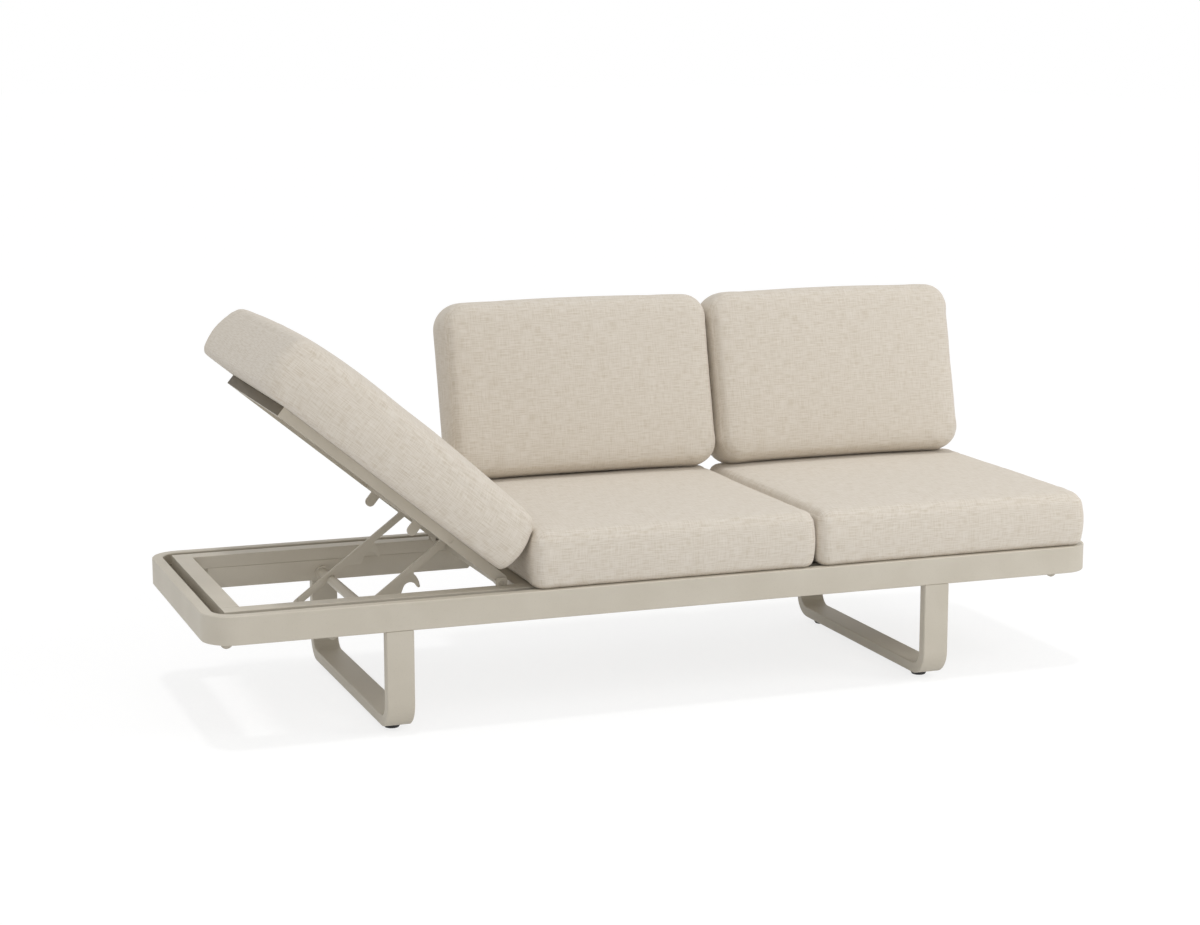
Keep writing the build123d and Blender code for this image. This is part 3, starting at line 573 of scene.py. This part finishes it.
# A tapered head, a long bar with a round end, a shallow seat for the tube when the recliner is up, and
# a heel and a claw round the deep seat for when it is flat
def armOutline(a):
    low, high = a["barOffset"] - a["barHalf"], a["barOffset"] + a["barHalf"]
    raised, flat = a["raisedSeat"], a["flatSeat"]
    heel, tip, claw = [(flat[0] + x, flat[1] + y, r) for x, y, r in (a["heel"], a["tip"], a["claw"])]
    return chain([
        (0, 0, a["head"], 171, 369),
        (a["neckAt"], low - a["neck"], a["neck"], 189, 90),
        (a["end"], a["barOffset"], a["barHalf"], -90, 90),
        (*raised, 330, 235),
        (raised[0] - a["seatEdge"], high, 0, 0, 0),
        (flat[0] + a["shoulderAt"], high + a["shoulder"], a["shoulder"], 270, 235),
        (*heel, 54, 116),
        (*flat, 308, 172),
        (*tip, -10, 140),
        (*claw, 151, 184),
        (flat[0] + a["rootAt"], high + a["root"], a["root"], 350, 270),
        (0, a["barOffset"], a["barHalf"], 90, 171)])


downBar = (-math.cos(propArm["slope"]), 0, -math.sin(propArm["slope"]))
hookSide = (math.sin(propArm["slope"]), 0, -math.cos(propArm["slope"]))
rodHole = chain([(0, 0, propArm["rod"], 0, 345)])
for name, node in (("hooked_arm_front", "front_prop_arm"), ("hooked_arm_rear", "rear_prop_arm")):
    low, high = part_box(node)
    arm = cutPiece(name, [armOutline(propArm), rodHole], (propArm["pivot"][0], high[1], propArm["pivot"][1]),
                   downBar, hookSide, high[1] - low[1], propArm["edge"], coat)
    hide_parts(node)
    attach(arm, "prop_arms")
    print("arm", name, len(arm.data.polygons), "faces")

# The side plates reach on behind the head rail
sidePlate = {"longer": 0.055, "nose": 0.030, "edge": 0.0006}
for name, node in (("long_plate_front", "front_side_plate"), ("long_plate_rear", "rear_side_plate")):
    low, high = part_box(node)
    left, right, nose = low[0] - sidePlate["longer"], high[0], sidePlate["nose"]
    outline = np.array([(left, high[2]), (left, low[2] + nose), (left + nose, low[2]),
                        (right - nose, low[2]), (right, low[2] + nose), (right, high[2])])
    plate = cutPiece(name, [outline], (0, high[1], 0), (1, 0, 0), (0, 0, 1), high[1] - low[1],
                     sidePlate["edge"], coat)
    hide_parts(node)
    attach(plate, "sofa_base")

# A dark strip closes the gap between the band and the inner frame, level with the rails' undersides; its dark
# colour is painted shade, standing in for the shade deep in the slot
gapStrip = {"outer": (1.1228, 0.3528), "corner": 0.0478, "inner": (1.0982, 0.3282), "level": 0.2885,
            "thickness": 0.004, "edge": 0.0003}
# painted shade: the dark coat of the gap strip and the head end strip
paintedShadeCoat = powderCoat("painted_shade_strip", {**frameCoat, "colour": (0.140, 0.116, 0.080, 1),
                                        "worn": (0.165, 0.138, 0.098, 1), "roughness": 0.7})
corner = gapStrip["corner"]
x, y = gapStrip["outer"][0] - corner, gapStrip["outer"][1] - corner
outer = chain([(x, -y, corner, -90, 0), (x, y, corner, 0, 90),
               (-x, y, corner, 90, 180), (-x, -y, corner, 180, 270)])
x, y = gapStrip["inner"]
inner = np.array([(-x, -y), (x, -y), (x, y), (-x, y)])
strip = cutPiece("gap_strip", [outer, inner], (0, baseY, gapStrip["level"]), (1, 0, 0), (0, 1, 0),
                 gapStrip["thickness"], gapStrip["edge"], paintedShadeCoat)
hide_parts("gap_spacers")
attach(strip, "sofa_base")

# The same dark strip caps the head end of the recliner frame; its dark colour is painted shade, standing in
# for the shade under the pad's overhang
endStrip = {"along": 0.685, "over": (-0.0048, 0.0198), "halfWidth": 0.2793, "thickness": 0.0012,
            "edge": 0.0003}
x, (low, high) = endStrip["halfWidth"], endStrip["over"]
headStrip = cutPiece("head_end_strip", [np.array([(-x, low), (x, low), (x, high), (-x, high)])],
                     onRecliner(endStrip["along"], 0), (0, -1, 0), overRecliner,
                     endStrip["thickness"], endStrip["edge"], paintedShadeCoat)
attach(headStrip, "recliner")
print("flat metal pieces made")

# Floor, light and camera: each lamp is its strength, its place and its size
studio = {"floor": (0.90, 0.90, 0.90, 1), "floorX": (-30, 30), "floorY": (-30, 60),
          "floorRoughness": 0.85, "floorGloss": 0.2, "grain": 3.0, "grainRoughness": 0.05,
          "shade": 0.30, "blank": 1.12, "worldLight": 0.58, "target": (0, baseY, 0.35),
          "sun": {"strength": 0.66, "turn": (math.radians(4), math.radians(-3), 0),
                  "size": math.radians(6)},
          "key": {"strength": 88.0, "place": (3.6, -3.4, 3.4), "size": 2.6},
          "fill": {"strength": 17.0, "place": (-3.6, -4.2, 2.8), "size": 3.0}}


def seenStraight(s):  # 1 for rays from the camera, off a mirror or through glass
    straight, shiny, through = s.node("ShaderNodeLightPath", out=(
        "Is Camera Ray", "Is Glossy Ray", "Is Transmission Ray"))
    return straight.math("MAXIMUM", shiny).math("MAXIMUM", through)


def placed(name, data, place=(0, 0, 0), turn=(0, 0, 0)):  # the floor, a lamp or the camera
    holder = bpy.data.objects.new(name, data)
    holder.location, holder.rotation_euler = place, turn
    bpy.context.scene.collection.objects.link(holder)
    return holder


floorMesh = bpy.data.meshes.new("studio_floor")
(left, right), (near, far) = studio["floorX"], studio["floorY"]
floorMesh.from_pydata([(left, near, 0), (right, near, 0), (right, far, 0), (left, far, 0)],
                      [], [(0, 1, 2, 3)])
s = Shader(bpy.data.materials.new("pale_floor"))
grain = s.noise(s.node("ShaderNodeTexCoord", out=3), studio["grain"])
matte = s.node("ShaderNodeBsdfPrincipled", None, {
    "Base Color": studio["floor"], "Specular IOR Level": studio["floorGloss"],
    "Roughness": studio["floorRoughness"] + (grain - noiseMean) * studio["grainRoughness"]})
blank = s.node("ShaderNodeEmission", None, {"Color": white, "Strength": studio["blank"]})
floorMesh.materials.append(s.finish(s.node("ShaderNodeMixShader", None, {
    0: seenStraight(s) * (1 - studio["shade"]), 1: matte, 2: blank})))
placed("studio_floor", floorMesh)

world = bpy.data.worlds.new("studio")
bpy.context.scene.world = world
s = Shader(world)
background = s.node("ShaderNodeBackground", None, {
    "Color": white, "Strength": studio["worldLight"] + seenStraight(s) * (1 - studio["worldLight"])})
s.node("ShaderNodeOutputWorld", None, {"Surface": background})

sun = bpy.data.lights.new("sun", "SUN")
sun.energy, sun.angle = studio["sun"]["strength"], studio["sun"]["size"]
placed("sun", sun, turn=studio["sun"]["turn"])
for name in ("key", "fill"):
    lamp = bpy.data.lights.new(name, "AREA")
    lamp.energy, lamp.size, lamp.shape = studio[name]["strength"], studio[name]["size"], "SQUARE"
    away = np.array(studio[name]["place"]) - np.array(studio["target"])
    placed(name, lamp, studio[name]["place"], (math.acos(away[2] / np.linalg.norm(away)), 0,
                                               math.atan2(away[1], away[0]) + math.pi / 2))

# The photograph's own viewpoint, with its shift in pixels of a frame 1200 wide
view = {"lens": 73.24, "sensor": 36, "frameWidth": 1200, "shift": (4.553, -1.10),
        "place": (-2.1639, -5.76335, 1.6263), "turn": (math.pi / 2 - 0.17508, 0.00125, -0.35081)}
cameraData = bpy.data.cameras.new("camera")
cameraData.lens, cameraData.sensor_width = view["lens"], view["sensor"]
cameraData.shift_x, cameraData.shift_y = [pixels / view["frameWidth"] for pixels in view["shift"]]
bpy.context.scene.camera = placed("camera", cameraData, view["place"], view["turn"])
bpy.context.scene.view_settings.view_transform = "Standard"
print("floor, light and camera set")
